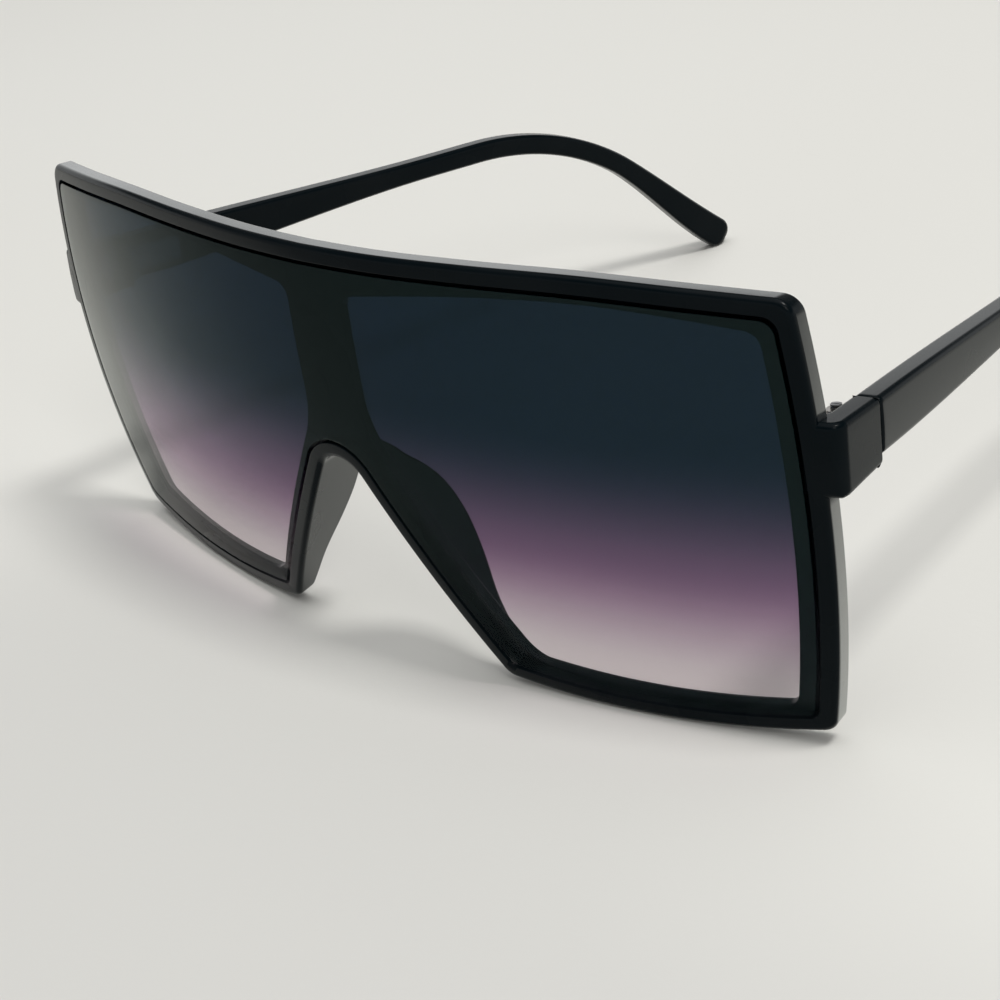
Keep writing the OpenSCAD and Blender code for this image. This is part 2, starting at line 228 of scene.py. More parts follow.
# %% World
# Brightness of the gap, what the walls and the ceiling add to it, and the backdrop
DIM, WALLS, CEILING, BACKDROP = 0.06, 0.76, 1.5, 0.8
# Heights in the sky, 0 at the horizon, where the walls end and the ceiling begins
WALLS_END, CEILING_START = (0.26, 0.44), (0.72, 0.93)

room = Finish("soft_room", bpy.data.worlds)
direction = room.add("ShaderNodeTexCoord", {}, {}, "Generated")
height = room.add("ShaderNodeSeparateXYZ", {}, {0: direction}, "Z")
light = DIM + WALLS * (1 - height.step(*WALLS_END)) + CEILING * height.step(*CEILING_START)
seen = room.add("ShaderNodeLightPath", {}, {}, "Is Camera Ray")
sky = room.add("ShaderNodeBackground", {}, {
    "Color": (0.985, 0.99, 1.0, 1),
    "Strength": light * (1 - seen) + BACKDROP * seen})
bpy.context.scene.world = room.done(sky, "ShaderNodeOutputWorld")
bpy.context.scene.view_settings.view_transform = "Standard"


# %% Lamps
def add_lamp(name, place, width, height, power):
    """A rectangular lamp that faces the glasses."""
    bpy.ops.object.light_add(type="AREA", location=place)
    lamp = bpy.context.object
    lamp.name = name
    lamp.data.shape = "RECTANGLE"
    lamp.data.size = width
    lamp.data.size_y = height
    lamp.data.energy = power
    lamp.data.color = (1.0, 0.99, 0.97)
    lamp.rotation_euler = place.to_track_quat("Z", "Y").to_euler()
    lamp.visible_camera = False
    print(name, "is", round(place.length, 2), "m away")


add_lamp("main_lamp", Vector((0.87, 0.12, 1.8)), width=0.4, height=0.4, power=15)
add_lamp("front_lamp", Vector((1.25, -0.72, 1.2)), width=0.5, height=0.5, power=4.4)

# %% [markdown]
# ## Polished black plastic
# The frame and temples are injection-moulded plastic, tumbled to a high gloss. Looked at
# straight on it is almost black, and at a glancing angle it mirrors the pale paper. A
# black Principled shader gives the first, a mirror-like one gives the second, and the
# angle of view mixes them. The outer wall of the front is buffed the most, the temples
# less and the rim's face least, and a number kept on the mesh says how much. A slow noise
# dulls the polish here and there, and a fine one gives the skin a slight ripple.


# %% Share of light that a polished surface mirrors
def mirrored_share(finish, facing_on, start, rise, power):
    """The share mirrored: a constant, and a rise where the surface turns away."""
    facing = finish.add("ShaderNodeLayerWeight", {}, {"Blend": 0.5}, "Facing")
    return facing_on + rise * facing.ramp(start, 1) ** power


# %% Black plastic
BLACK, BLACK_HANDLED = (0.0020, 0.0042, 0.0056, 1), (0.0036, 0.0058, 0.0072, 1)
POLISH_COLOUR = (0.93, 0.95, 0.93, 1)
# How much of the gloss an unbuffed surface has, and what full buffing adds to it
UNBUFFED, BUFFED = 0.58, 2.8
FINE_RELIEF = 0.004 * MM


def black_plastic():
    """Glossy black plastic with handling marks and a faint moulded ripple."""
    plastic = Finish("polished_black_plastic")
    handled = plastic.noise(55, 3).step(0.35, 0.75)
    ripple = plastic.noise(420, 2)
    brushed = plastic.noise(30, 2, plastic.stretched((60, 6, 60))).step(0.45, 0.8)
    marks = plastic.bump(ripple, FINE_RELIEF)
    body = plastic.add("ShaderNodeBsdfPrincipled", {}, {
        "Base Color": plastic.blend(handled, BLACK, BLACK_HANDLED),
        "Roughness": 0.22 + 0.12 * handled,
        "IOR": 1.1,
        "Normal": marks})
    polish = plastic.add("ShaderNodeBsdfPrincipled", {}, {
        "Base Color": POLISH_COLOUR,
        "Metallic": 1.0,
        "Roughness": 0.09 + 0.07 * handled + 0.05 * brushed,
        "Normal": marks})
    buffing = plastic.add("ShaderNodeAttribute", {"attribute_name": "buffing"}, {}, "Fac")
    gloss = mirrored_share(plastic, facing_on=0.003, start=0.4, rise=0.3, power=1.1)
    return plastic.done(plastic.mix(gloss * (UNBUFFED + BUFFED * buffing), body, polish))


black = black_plastic()

# %% [markdown]
# ## Gradient lens
# The lens is a thin sheet of polycarbonate dyed in a gradient. Light crosses its front
# and its back, so each of the two faces takes the square root of the whole tint. Slate
# fades into plum and plum into a pale mauve, by height. The gloss is mixed over the tint
# by the angle of view, as on the frame. It is slightly blue-green where the lens faces
# the viewer, as on a coated lens, and turned down towards the bottom as painted shade, for
# the shaded floor that the lower lens mirrors.

# %% Lens
def face_tint(red, green, blue):
    """The tint of one face, from what the whole lens lets through."""
    return (sqrt(red), sqrt(green), sqrt(blue), 1)


SLATE = face_tint(0.0056, 0.0108, 0.0225)
PLUM = face_tint(0.235, 0.13, 0.228)
MAUVE = face_tint(0.74, 0.67, 0.70)
# Heights between which one tint turns into the next, and the painted shade on the gloss fades out
PLUM_HEIGHTS, SLATE_HEIGHTS, GLOSS_SHADE_HEIGHTS = (6, 26), (17, 44), (2, 34)
TINT_DRIFT = 1.2
COATING, CLEAR_COATING = (0.6, 1.0, 1.0, 1), (0.93, 0.97, 0.94, 1)
# Share of the gloss left at the bottom: painted shade for the shaded floor that the lower lens
# mirrors
SHADED_LOW_GLOSS = 0.45


def gradient_lens():
    """Dyed lens, dark above and pale below, with a clean gloss."""
    tinted = Finish("gradient_tint")
    height = tinted.add("ShaderNodeSeparateXYZ", {}, {0: tinted.place}, "Z")
    level = height + (tinted.noise(18, 1) - 0.5) * (TINT_DRIFT * MM)

    def between(heights):
        """0 below the first height and 1 above the second."""
        return level.step(heights[0] * MM, heights[1] * MM)

    low = tinted.blend(between(PLUM_HEIGHTS), MAUVE, PLUM)
    tint = tinted.blend(between(SLATE_HEIGHTS), low, SLATE)
    clear = tinted.add("ShaderNodeBsdfTransparent", {}, {"Color": tint})
    smear = tinted.noise(40, 3).step(0.45, 0.8)
    turned = tinted.add("ShaderNodeLayerWeight", {}, {"Blend": 0.5}, "Facing").ramp(0.3, 0.7)
    gloss = tinted.add("ShaderNodeBsdfPrincipled", {}, {
        "Base Color": tinted.blend(turned, COATING, CLEAR_COATING),
        "Metallic": 1.0,
        "Roughness": 0.03 + 0.03 * smear})
    share = mirrored_share(tinted, facing_on=0.017, start=0.3, rise=1.5, power=3.8)
    # Painted shade: the gloss is turned down towards the bottom of the lens
    share = share * (SHADED_LOW_GLOSS + (1 - SHADED_LOW_GLOSS) * between(GLOSS_SHADE_HEIGHTS))
    return tinted.done(tinted.mix(share, clear, gloss))


tint_material = gradient_lens()

# %% [markdown]
# ## Hinge metal
# The hinge leaves are stamped nickel-silver and the screws are turned steel. Both are
# metals, so their colour is in the reflection. Stamping leaves a fine even grain, and a
# turned screw has marks that run round it, which stretched noise gives well enough at
# this size.


# %% Metals
def metal(name, colour, worn, rough, grain_scales):
    """A metal with a grain and darker, rougher patches of wear."""
    steel = Finish(name)
    patches = steel.noise(700, 3).step(0.35, 0.7)
    grain = steel.noise(900, 2, steel.stretched(grain_scales))
    shader = steel.add("ShaderNodeBsdfPrincipled", {}, {
        "Base Color": steel.blend(patches, colour, worn),
        "Metallic": 1.0,
        "Roughness": rough + 0.12 * patches + 0.08 * grain,
        "Normal": steel.bump(grain, FINE_RELIEF)})
    return steel.done(shader)


leaf_metal = metal("stamped_nickel", (0.62, 0.60, 0.56, 1), (0.42, 0.40, 0.37, 1),
                   rough=0.24, grain_scales=(1, 1, 6))
screw_metal = metal("turned_steel", (0.42, 0.42, 0.42, 1), (0.20, 0.20, 0.20, 1),
                    rough=0.22, grain_scales=(1, 1, 14))

# %% [markdown]
# ## Outlines of the front
# Seen from the front, the frame is bounded by circles: a nearly straight top, bowed sides
# and two bowed lower edges, with a pointed nose arch between them. Each corner is
# rounded. One function gives that outline moved inward by any distance, always with the
# same number of points, so that two outlines can be joined by a neat band of faces. Only
# the wearer's left half is drawn, and it is mirrored later.

# %% Sizes of the front, in millimetres
# Width, height and radius of the curved front
FRONT_W, FRONT_H, FRONT_R = 153.5, 65.0, 239.0
# Shares of its height where it stands out most and is widest, and of its half width where
# its lower edge is lowest and the eye is highest
CURVE_SHARE, WIDEST_SHARE, LOW_SHARE, CREST_SHARE = 0.614, 0.5675, 0.573, 0.52
CURVE_Z = FRONT_H * CURVE_SHARE
# Frame thickness, rim width, depth of the lens seat, and the lens's thickness and inset
FRAME_T, RIM_W, SEAT, LENS_T, LENS_IN = 3.1, 2.3, 1.55, 1.5, 2.8
# The circles of the outlines and their centres, and the width above an eye
TOP_R, SIDE_R, BOTTOM_R, EYE_TOP_R = 1600.0, 140.0, 177.0, 230.0
EYE_TOP_W = 4.7
TOP_C = Vector((0, FRONT_H - TOP_R))
SIDE_C = Vector((FRONT_W / 2 - SIDE_R, FRONT_H * WIDEST_SHARE))
BOTTOM_C = Vector((FRONT_W / 2 * LOW_SHARE, BOTTOM_R))
EYE_TOP_C = Vector((FRONT_W / 2 * CREST_SHARE, FRONT_H - EYE_TOP_W - EYE_TOP_R))
# The nose arch: height of its crown, its rounding, and the slope of its sides
NOSE_H, NOSE_R, NOSE_ANGLE = 32.5, 5.2, radians(32.7)
NOSE_APEX = NOSE_H + NOSE_R / sin(NOSE_ANGLE) - NOSE_R
NOSE_SIDE = Vector((sin(NOSE_ANGLE), -cos(NOSE_ANGLE)))
# Widths of the ledge round the eye opening, and the rounding of its corners
NOSE_RIM, BRIDGE_HALF, EYE_SIDE_W, EYE_BOTTOM_W = 5.2, 5.7, 5.45, 3.2
EYE_CORNER_R = 2.4
NASAL_CORNER_R = 2.5 * EYE_CORNER_R
EYE_BEND_R = 3 * NOSE_RIM
# Outer corners, and how much sharper they get with each millimetre inward
TOP_CORNER_R, TOP_SHARPENED = 2.8, 0.25
LOW_CORNER_R, LOW_SHARPENED = 2.3, 0.2
APEX_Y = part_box("shield_lens")[0].y / MM
print("front apex at y =", round(APEX_Y, 2), "mm")

# %% Number of faces along each stretch of an outline
BRIDGE_N, TOP_N, CORNER_N, SIDE_N, BOTTOM_N, NOSE_N, ARCH_N = 16, 34, 8, 40, 28, 22, 12
LOOP_N = BRIDGE_N + TOP_N + 3 * CORNER_N + SIDE_N + BOTTOM_N + NOSE_N + ARCH_N
print("points round a half outline:", LOOP_N)


# %% Plane geometry
def crossing(first, first_r, second, second_r):
    """The crossing of two circles that lies on the right of the line between them."""
    v = second - first
    a = (v.length_squared + first_r ** 2 - second_r ** 2) / (2 * v.length)
    h = sqrt(first_r ** 2 - a * a)
    u = v.normalized()
    return first + a * u - h * Vector((-u.y, u.x))


def leaving(point, direction, centre, r):
    """Where a line from a point inside a circle leaves it."""
    w = point - centre
    b = w.dot(direction)
    return point + (-b + sqrt(b * b - w.length_squared + r * r)) * direction


def along(centre, point, towards):
    """Unit direction along a circle at one of its points, towards another point."""
    v = point - centre
    u = Vector((-v.y, v.x)).normalized()
    return u if u.dot(towards - point) > 0 else -u


def fillet(corner, u, v, r, count=CORNER_N):
    """Points of the arc that rounds a corner, from the edge along u to the one along v."""
    half = u.angle(v) / 2
    middle = (u + v).normalized()
    centre = corner + middle * (r / sin(half))
    first = corner + u * (r / tan(half)) - centre
    last = corner + v * (r / tan(half)) - centre
    sweep = first.angle_signed(last)
    return [centre + Matrix.Rotation(-sweep * i / count, 2) @ first for i in range(count + 1)]


def straight(first, last, count):
    """Points from first to last along a line."""
    return [first.lerp(last, i / count) for i in range(count + 1)]


def bowed(centre, first, last, count):
    """Points from first to last along a circle about the centre."""
    a, b = first - centre, last - centre
    sweep = a.angle_signed(b)
    r = (a.length + b.length) / 2
    turned = [Matrix.Rotation(-sweep * i / count, 2) @ a for i in range(count + 1)]
    return [first] + [centre + t.normalized() * r for t in turned[1:-1]] + [last]


def joined(*stretches):
    """One closed outline from stretches that each start where the last one ended."""
    return [point for stretch in stretches for point in stretch[:-1]]


# %% Outline of the front, moved inward by a distance
def front_outline(inset):
    """The left half of the front, from the arch up the middle and round."""
    nose_top = Vector((0, NOSE_APEX + inset / sin(NOSE_ANGLE)))
    p = crossing(TOP_C, TOP_R - inset, SIDE_C, SIDE_R - inset)
    q = crossing(SIDE_C, SIDE_R - inset, BOTTOM_C, BOTTOM_R - inset)
    w = leaving(nose_top, NOSE_SIDE, BOTTOM_C, BOTTOM_R - inset)
    top_r = TOP_CORNER_R - TOP_SHARPENED * inset
    low_r = LOW_CORNER_R - LOW_SHARPENED * inset
    arch_r = NOSE_R + inset
    arch_c = nose_top - Vector((0, arch_r / sin(NOSE_ANGLE)))
    crown = Vector((0, FRONT_H - inset))
    apex = arch_c + Vector((0, arch_r))
    top_corner = fillet(p, along(TOP_C, p, crown), along(SIDE_C, p, q), top_r)
    low_corner = fillet(q, along(SIDE_C, q, p), along(BOTTOM_C, q, w), low_r)
    nose_corner = fillet(w, along(BOTTOM_C, w, q), -NOSE_SIDE, low_r)
    arch_start = arch_c + arch_r * Vector((cos(NOSE_ANGLE), sin(NOSE_ANGLE)))
    return joined(
        straight(apex, crown, BRIDGE_N),
        bowed(TOP_C, crown, top_corner[0], TOP_N),
        top_corner,
        bowed(SIDE_C, top_corner[-1], low_corner[0], SIDE_N),
        low_corner,
        bowed(BOTTOM_C, low_corner[-1], nose_corner[0], BOTTOM_N),
        nose_corner,
        straight(nose_corner[-1], arch_start, NOSE_N),
        bowed(arch_c, arch_start, apex, ARCH_N))


# %% Outline of the eye opening
def eye_outline():
    """The eye opening, point for point in step with the outline of the front."""
    half = CORNER_N // 2
    x = BRIDGE_HALF
    z = EYE_TOP_C.y + sqrt(EYE_TOP_R ** 2 - (x - EYE_TOP_C.x) ** 2)
    nose_top = Vector((0, NOSE_APEX + NOSE_RIM / sin(NOSE_ANGLE)))
    inner = Vector((x, z))
    bend = Vector((x, nose_top.y - x / tan(NOSE_ANGLE)))
    side_r, bottom_r = SIDE_R - EYE_SIDE_W, BOTTOM_R - EYE_BOTTOM_W
    p = crossing(EYE_TOP_C, EYE_TOP_R, SIDE_C, side_r)
    q = crossing(SIDE_C, side_r, BOTTOM_C, bottom_r)
    w = leaving(nose_top, NOSE_SIDE, BOTTOM_C, bottom_r)
    r = EYE_CORNER_R
    inner_corner = fillet(inner, Vector((0, -1)), along(EYE_TOP_C, inner, p), r)
    top_corner = fillet(p, along(EYE_TOP_C, p, inner), along(SIDE_C, p, q), r)
    low_corner = fillet(q, along(SIDE_C, q, p), along(BOTTOM_C, q, w), r)
    nose_corner = fillet(w, along(BOTTOM_C, w, q), -NOSE_SIDE, NASAL_CORNER_R)
    bend_arc = fillet(bend, NOSE_SIDE, Vector((0, 1)), EYE_BEND_R, ARCH_N)
    return joined(
        straight(bend_arc[-1], inner_corner[0], BRIDGE_N - half),
        inner_corner,
        bowed(EYE_TOP_C, inner_corner[-1], top_corner[0], TOP_N - half),
        top_corner,
        bowed(SIDE_C, top_corner[-1], low_corner[0], SIDE_N),
        low_corner,
        bowed(BOTTOM_C, low_corner[-1], nose_corner[0], BOTTOM_N),
        nose_corner,
        straight(nose_corner[-1], bend_arc[0], NOSE_N),
        bend_arc)


def grown(outline, amount):
    """The outline moved outward by a small amount."""
    count = len(outline)
    moved = []
    for i, point in enumerate(outline):
        v = (outline[(i + 1) % count] - outline[i - 1]).normalized()
        moved.append(point + amount * Vector((-v.y, v.x)))
    return moved


eye = eye_outline()
print("outline points:", len(front_outline(0)), len(eye))

# %% [markdown]
# ## From outline to curved front
# The whole front is bent like a piece of a large ball, 239 mm in radius. A point of an
# outline is lifted onto that ball, and its depth behind the front is measured towards the
# ball's centre, so the walls stand square to the surface as a mould leaves them. The brow
# isn't quite the circle of the outline: it dips a little over the nose and rises a little
# above each eye, and both fade out down the front.


# %% Smooth curves
def eased(x, xs, ys):
    """A smooth curve through points, read at x."""
    x = min(max(x, xs[0]), xs[-1])
    i = max(k for k in range(len(xs) - 1) if xs[k] <= x)

    def slope(k):
        a, b = max(k - 1, 0), min(k + 1, len(xs) - 1)
        return (ys[b] - ys[a]) / (xs[b] - xs[a])

    h = xs[i + 1] - xs[i]
    t = (x - xs[i]) / h
    return ((2 * t ** 3 - 3 * t * t + 1) * ys[i] + (t ** 3 - 2 * t * t + t) * h * slope(i)
            + (3 * t * t - 2 * t ** 3) * ys[i + 1] + (t ** 3 - t * t) * h * slope(i + 1))


def smooth(t):
    """0 up to 0 and 1 from 1, with a smooth rise between them."""
    t = min(max(t, 0), 1)
    return t * t * (3 - 2 * t)


# %% Points on the ball
BALL_C = Vector((0, APEX_Y + FRONT_R, CURVE_Z))
# Heights between which the brow takes over, and its rise at distances from the middle
BROW_FROM, BROW_FULL = 40, 62
BROW_SIDES = (0, 14, 28, 46, 62, 74)
BROW_RISES = (-0.65, -0.45, 0, 0.5, 0.3, 0)


def brow(point):
    """How much higher the brow is than the circle of the outline."""
    share = smooth((point.y - BROW_FROM) / (BROW_FULL - BROW_FROM))
    return share * eased(abs(point.x), BROW_SIDES, BROW_RISES)


def on_ball(point, depth):
    """A point of an outline, lifted onto the curved front and set back by a depth, in metres."""
    v = Vector((point.x, 0, point.y + brow(point) - CURVE_Z))
    v.y = -sqrt(FRONT_R ** 2 - v.x ** 2 - v.z ** 2)
    return (BALL_C + v * ((FRONT_R - depth) / FRONT_R)) * MM


def ball_loop(outline, depth):
    """A whole outline on the curved front."""
    return [on_ball(point, depth) for point in outline]


outer = front_outline(0)
print("front corner at", [round(v / MM, 1) for v in on_ball(outer[BRIDGE_N + TOP_N], 0)])

# %% [markdown]
# ## Modelling by extruding a loop
# A moulded frame has the same cross-section nearly all the way round. It is modelled as
# by hand: a ring of edges is laid along the first outline, extruded, set onto the next
# outline, extruded again, and so on round the section. Each point carries its number
# round the ring, which the extruded points inherit, so every ring lands in step. It also
# carries how much it is buffed, for the plastic's finish.


# %% Draw a band of faces through a list of loops
# Buffing of the endpieces and temples
COMMON_BUFFING = 0.15


def first_loop(name, places, buffing):
    """A ring of edges with its points at their places, left in edit mode and selected."""
    bpy.ops.mesh.primitive_circle_add(vertices=len(places), radius=MM)
    piece = bpy.context.object
    piece.name = name
    piece.data.name = name
    number = piece.data.attributes.new("number", "INT", "POINT")
    number.data.foreach_set("value", range(len(places)))
    piece.data.attributes.new("buffing", "FLOAT", "POINT")
    bpy.ops.object.mode_set(mode="EDIT")
    bpy.ops.mesh.select_all(action="SELECT")
    put_points(piece, places, buffing)
    return piece


def put_points(piece, places, buffing):
    """Moves each selected point to the place that its number gives, and sets its buffing."""
    mesh = bmesh.from_edit_mesh(piece.data)
    number = mesh.verts.layers.int["number"]
    layer = mesh.verts.layers.float["buffing"]
    for point in mesh.verts:
        if point.select:
            point.co = places[point[number]]
            point[layer] = buffing[point[number]]
    bmesh.update_edit_mesh(piece.data)


def draw_band(name, loops, buffings=None):
    """A band of faces through the loops, left in edit mode with the last loop selected."""
    buffings = buffings or [[COMMON_BUFFING] * len(loops[0])] * len(loops)
    piece = first_loop(name, loops[0], buffings[0])
    for places, buffing in zip(loops[1:], buffings[1:]):
        bpy.ops.mesh.extrude_edges_move()
        put_points(piece, places, buffing)
    return piece


# %% Select, merge, close and apply modifiers
MERGE_DISTANCE = 0.002 * MM


def select_only(piece):
    """Selects one piece and makes it the active one."""
    bpy.ops.object.select_all(action="DESELECT")
    piece.select_set(True)
    bpy.context.view_layer.objects.active = piece


def choose_faces(piece, wanted):
    """Selects the faces for which wanted is true, in edit mode."""
    bpy.ops.mesh.select_mode(type="FACE")
    bpy.ops.mesh.select_all(action="DESELECT")
    mesh = bmesh.from_edit_mesh(piece.data)
    for face in mesh.faces:
        if wanted(face):
            face.select_set(True)
    bmesh.update_edit_mesh(piece.data)


def heal(piece):
    """Merges double points and turns all the faces outward, in edit mode."""
    bpy.ops.mesh.select_mode(type="VERT")
    bpy.ops.mesh.select_all(action="SELECT")
    bpy.ops.mesh.remove_doubles(threshold=MERGE_DISTANCE)
    bpy.ops.mesh.normals_make_consistent(inside=False)


def close_ends(piece):
    """Closes the two open ends of a band, in edit mode."""
    bpy.ops.mesh.select_all(action="SELECT")
    bpy.ops.mesh.fill_holes(sides=0)
    heal(piece)


def use_modifier(piece, kind, **settings):
    """Adds a modifier to a piece and applies it."""
    bpy.context.view_layer.objects.active = piece
    modifier = piece.modifiers.new(kind.lower(), kind)
    for key, value in settings.items():
        setattr(modifier, key, value)
    bpy.ops.object.modifier_apply(modifier=modifier.name)


def mirror_half(piece):
    """Clears the faces that lie in the middle plane and adds the other half."""
    near = MERGE_DISTANCE / 2
    choose_faces(piece, lambda face: all(abs(point.co.x) < near for point in face.verts))
    bpy.ops.mesh.delete(type="FACE")
    bpy.ops.object.mode_set(mode="OBJECT")
    use_modifier(piece, "MIRROR", use_clip=True, merge_threshold=MERGE_DISTANCE)
    bpy.ops.object.mode_set(mode="EDIT")
    heal(piece)
    bpy.ops.object.mode_set(mode="OBJECT")


def polish_shading(piece, angle=38):
    """Smooth shading that keeps real edges sharp and large faces flat."""
    select_only(piece)
    bpy.ops.object.shade_smooth_by_angle(angle=radians(angle))
    use_modifier(piece, "WEIGHTED_NORMAL", keep_sharp=True)
    if "number" in piece.data.attributes:
        piece.data.attributes.remove(piece.data.attributes["number"])


def check_closed(piece):
    """Prints the piece's size and how many of its edges are open."""
    mesh = bmesh.new()
    mesh.from_mesh(piece.data)
    loose = sum(1 for edge in mesh.edges if not edge.is_manifold)
    volume = mesh.calc_volume(signed=True) / MM ** 3
    mesh.free()
    size = [round(v / MM, 2) for v in piece.dimensions]
    print(piece.name, "size", size, "faces", len(piece.data.polygons), "open edges", loose,
          "volume mm3", round(volume, 1))


# %% [markdown]
# ## The moulded front
# The section runs from the back of the eye opening, over the ledge that the lens lies on,
# up the recess wall, across the polished rim, round the outer edge and over the back. On
# the real frame the back grows into two nose pads along the arch. They are drawn with the
# same loops: where the outline passes the arch, the back is simply set further back.

# %% Depth of the frame round the outline
PAD_T, PAD_SPLAY = 2.8, radians(5)
# How far back the pads reach at each height
PAD_HEIGHTS = (0.0, 3.0, 9.0, 15.5, 21.0, 26.0, 30.5, 32.5)
PAD_REACHES = (7.3, 7.8, 8.4, 10.2, 11.0, 10.2, 7.0, 4.8)

nose_from = LOOP_N - ARCH_N - NOSE_N - CORNER_N
frame_depths = []
for i, point in enumerate(outer):
    depth = FRAME_T
    if i >= nose_from or i == 0:
        front_y = on_ball(point, 0).y / MM - APEX_Y
        pad = eased(point.y, PAD_HEIGHTS, PAD_REACHES) - front_y
        share = 1 if i == 0 else smooth((i - nose_from) / CORNER_N)
        depth += share * max(pad - FRAME_T, 0)
    frame_depths.append(depth)
print("deepest point of the frame:", round(max(frame_depths), 1), "mm")


# %% A loop on the back of the frame
PAD_EDGE_R = 0.8
# The ball narrows the back towards the sides, and the mould makes up for half of that
WIDENED = 0.5


def back_loop(inset, short, inner=False, foot=False):
    """A loop on the back, which stops short of the frame's depth by a distance."""
    held = WIDENED * max(1 - inset / PAD_T, 0) / FRONT_R
    places = []
    for i, point in enumerate(front_outline(inset)):
        on_middle = 1 <= i <= BRIDGE_N
        pad = 0 if foot or on_middle else frame_depths[i] - FRAME_T
        less = short * smooth(pad / PAD_EDGE_R) if inner else short
        splay = PAD_SPLAY * min(outer[i].x / NOSE_R, 1)
        reach = pad * MM * Vector((sin(splay), cos(splay), 0))
        wider = Vector((held * point.x * (FRAME_T - less), 0, 0)) * MM
        places.append(on_ball(point, FRAME_T - less) + wider + reach)
    return places


# %% Loops of the whole section
# Roundings of the outer wall in front and behind, the opening behind and in front, the groove
EDGE_R, BACK_R, OPENING_R, LEDGE_R, GROOVE_R = 0.85, 0.35, 0.4, 0.2, 0.15
EDGE_STEPS = 5
# How far a pad's inner wall slopes inward down to the back of the frame
PAD_FOOT = 0.3


def rounding(r, steps=4):
    """Distances from two walls of the points that round their corner, from wall to wall."""
    turns = [pi / 2 * k / steps for k in range(steps + 1)]
    return [(r * (1 - sin(a)), r * (1 - cos(a))) for a in turns]


section = [ball_loop(grown(eye, out), FRAME_T - up) for out, up in rounding(OPENING_R)]
section += [ball_loop(grown(eye, out), SEAT + up) for out, up in reversed(rounding(LEDGE_R, 3))]
section += [ball_loop(front_outline(RIM_W), SEAT)]
section += [ball_loop(front_outline(RIM_W - out), down)
            for out, down in reversed(rounding(GROOVE_R, 2))]
wall_from = len(section)
section += [ball_loop(front_outline(out), down) for out, down in rounding(EDGE_R, EDGE_STEPS)]
wall_to = len(section)
section += [back_loop(out, short) for out, short in reversed(rounding(BACK_R))]
section += [back_loop(PAD_T - out, short, inner=True) for out, short in rounding(PAD_EDGE_R)]
section += [back_loop(PAD_T + PAD_FOOT, 0, foot=True), section[0]]
print("loops in the section:", len(section))

# %% Buffing of the outer wall: most at the upper corner, least in the arch
top_end = BRIDGE_N + TOP_N
bottom_from = nose_from - BOTTOM_N
wall_stops = (top_end, top_end + CORNER_N, bottom_from - CORNER_N, bottom_from, nose_from)
WALL_SHARES = (0.66, 1.7, 1.0, 0.62, 0.17)
wall_share = [eased(i or LOOP_N, wall_stops, WALL_SHARES) for i in range(LOOP_N)]
buffings = [[0] * LOOP_N for _ in section]
for i, (out, down) in enumerate(rounding(EDGE_R, EDGE_STEPS)):
    buffings[wall_from + i] = [share * smooth(down / EDGE_R) ** 2 for share in wall_share]
for i, (out, short) in enumerate(reversed(rounding(BACK_R))):
    buffings[wall_to + i] = [share * short / BACK_R for share in wall_share]
print("outer wall from loop", wall_from, "to", wall_to)

# %% Draw the front and mirror it
front = draw_band("moulded_front", section, buffings)
heal(front)
mirror_half(front)
check_closed(front)

# %% [markdown]
# ## Endpieces
# At each side the front grows a short block that carries the hinge. It leaves the rim
# without a step in front, turns a soft corner, and ends in a flat face where the temple
# meets it. It is drawn in the temple's own directions: outward, along and up. Loops are
# stacked from its underside to its top, then it is joined to the front by a Boolean, and
# the seat of the hinge leaf is cut from its inner face in the same way.

# %% Directions of the left temple
# How far the endpiece stands out, its length, and its reach above and below the joint
END_OUT, END_LEN, END_TOP, END_UNDER = 2.3, 10.2, 3.5, 5.3
# Height of the joint, the temple's turn inward and its slope, its thickness and its gap
TEMPLE_Z, TEMPLE_YAW, TEMPLE_PITCH = 43.3, radians(9.2), radians(5)
TEMPLE_T, JOINT_GAP = 3.8, 0.15
END_X = FRONT_W / 2 + END_OUT
END_Y = FRONT_R - sqrt(FRONT_R ** 2 - END_X ** 2)
HINGE = Vector((END_X - END_LEN * sin(TEMPLE_YAW),
                APEX_Y + END_Y + END_LEN * cos(TEMPLE_YAW),
                TEMPLE_Z))
side_frame = (Matrix.Translation(HINGE * MM) @ Matrix.Rotation(TEMPLE_YAW, 4, "Z")
              @ Matrix.Rotation(-TEMPLE_PITCH, 4, "X"))
print("joint at", [round(v, 2) for v in HINGE])


def beside(x, y, z):
    """A place given outward, along and up from the temple joint, in millimetres."""
    return side_frame @ (Vector((x, y, z)) * MM)


# %% Plan of the endpiece
END_CORNER_R, JOINT_EDGE_R, INNER_BEND_R = 2.2, 0.2, 1.5
# Reach inward at the front face and at the root in the frame, which lies a little behind
FACE_X, ROOT_X, ROOT_BACK = 3.3, 5.8, 1.4
# Where the inner side turns from the root towards the joint
SLOPE_FROM, SLOPE_TO = -0.8 * END_LEN, -0.64 * END_LEN
PLAN_STEPS = 6
lean = asin(END_X / FRONT_R) - TEMPLE_YAW
# Each corner's place, outward and along, and the radius that rounds it
plan_corners = [
    ((-FACE_X, -END_LEN - FACE_X * tan(lean)), 0),
    ((-ROOT_X, -END_LEN - ROOT_X * tan(lean) + ROOT_BACK), 0),
    ((-ROOT_X, SLOPE_FROM), 0),
    ((-TEMPLE_T, SLOPE_TO), INNER_BEND_R),
    ((-TEMPLE_T, -JOINT_GAP), JOINT_EDGE_R),
    ((0, -JOINT_GAP), JOINT_EDGE_R),
    ((0, -END_LEN), END_CORNER_R)]
plan = []
for i, (corner, r) in enumerate(plan_corners):
    here = Vector(corner)
    before = (Vector(plan_corners[i - 1][0]) - here).normalized()
    after = (Vector(plan_corners[(i + 1) % len(plan_corners)][0]) - here).normalized()
    plan += fillet(here, before, after, r, PLAN_STEPS) if r else [here]
print("points in the plan:", len(plan))


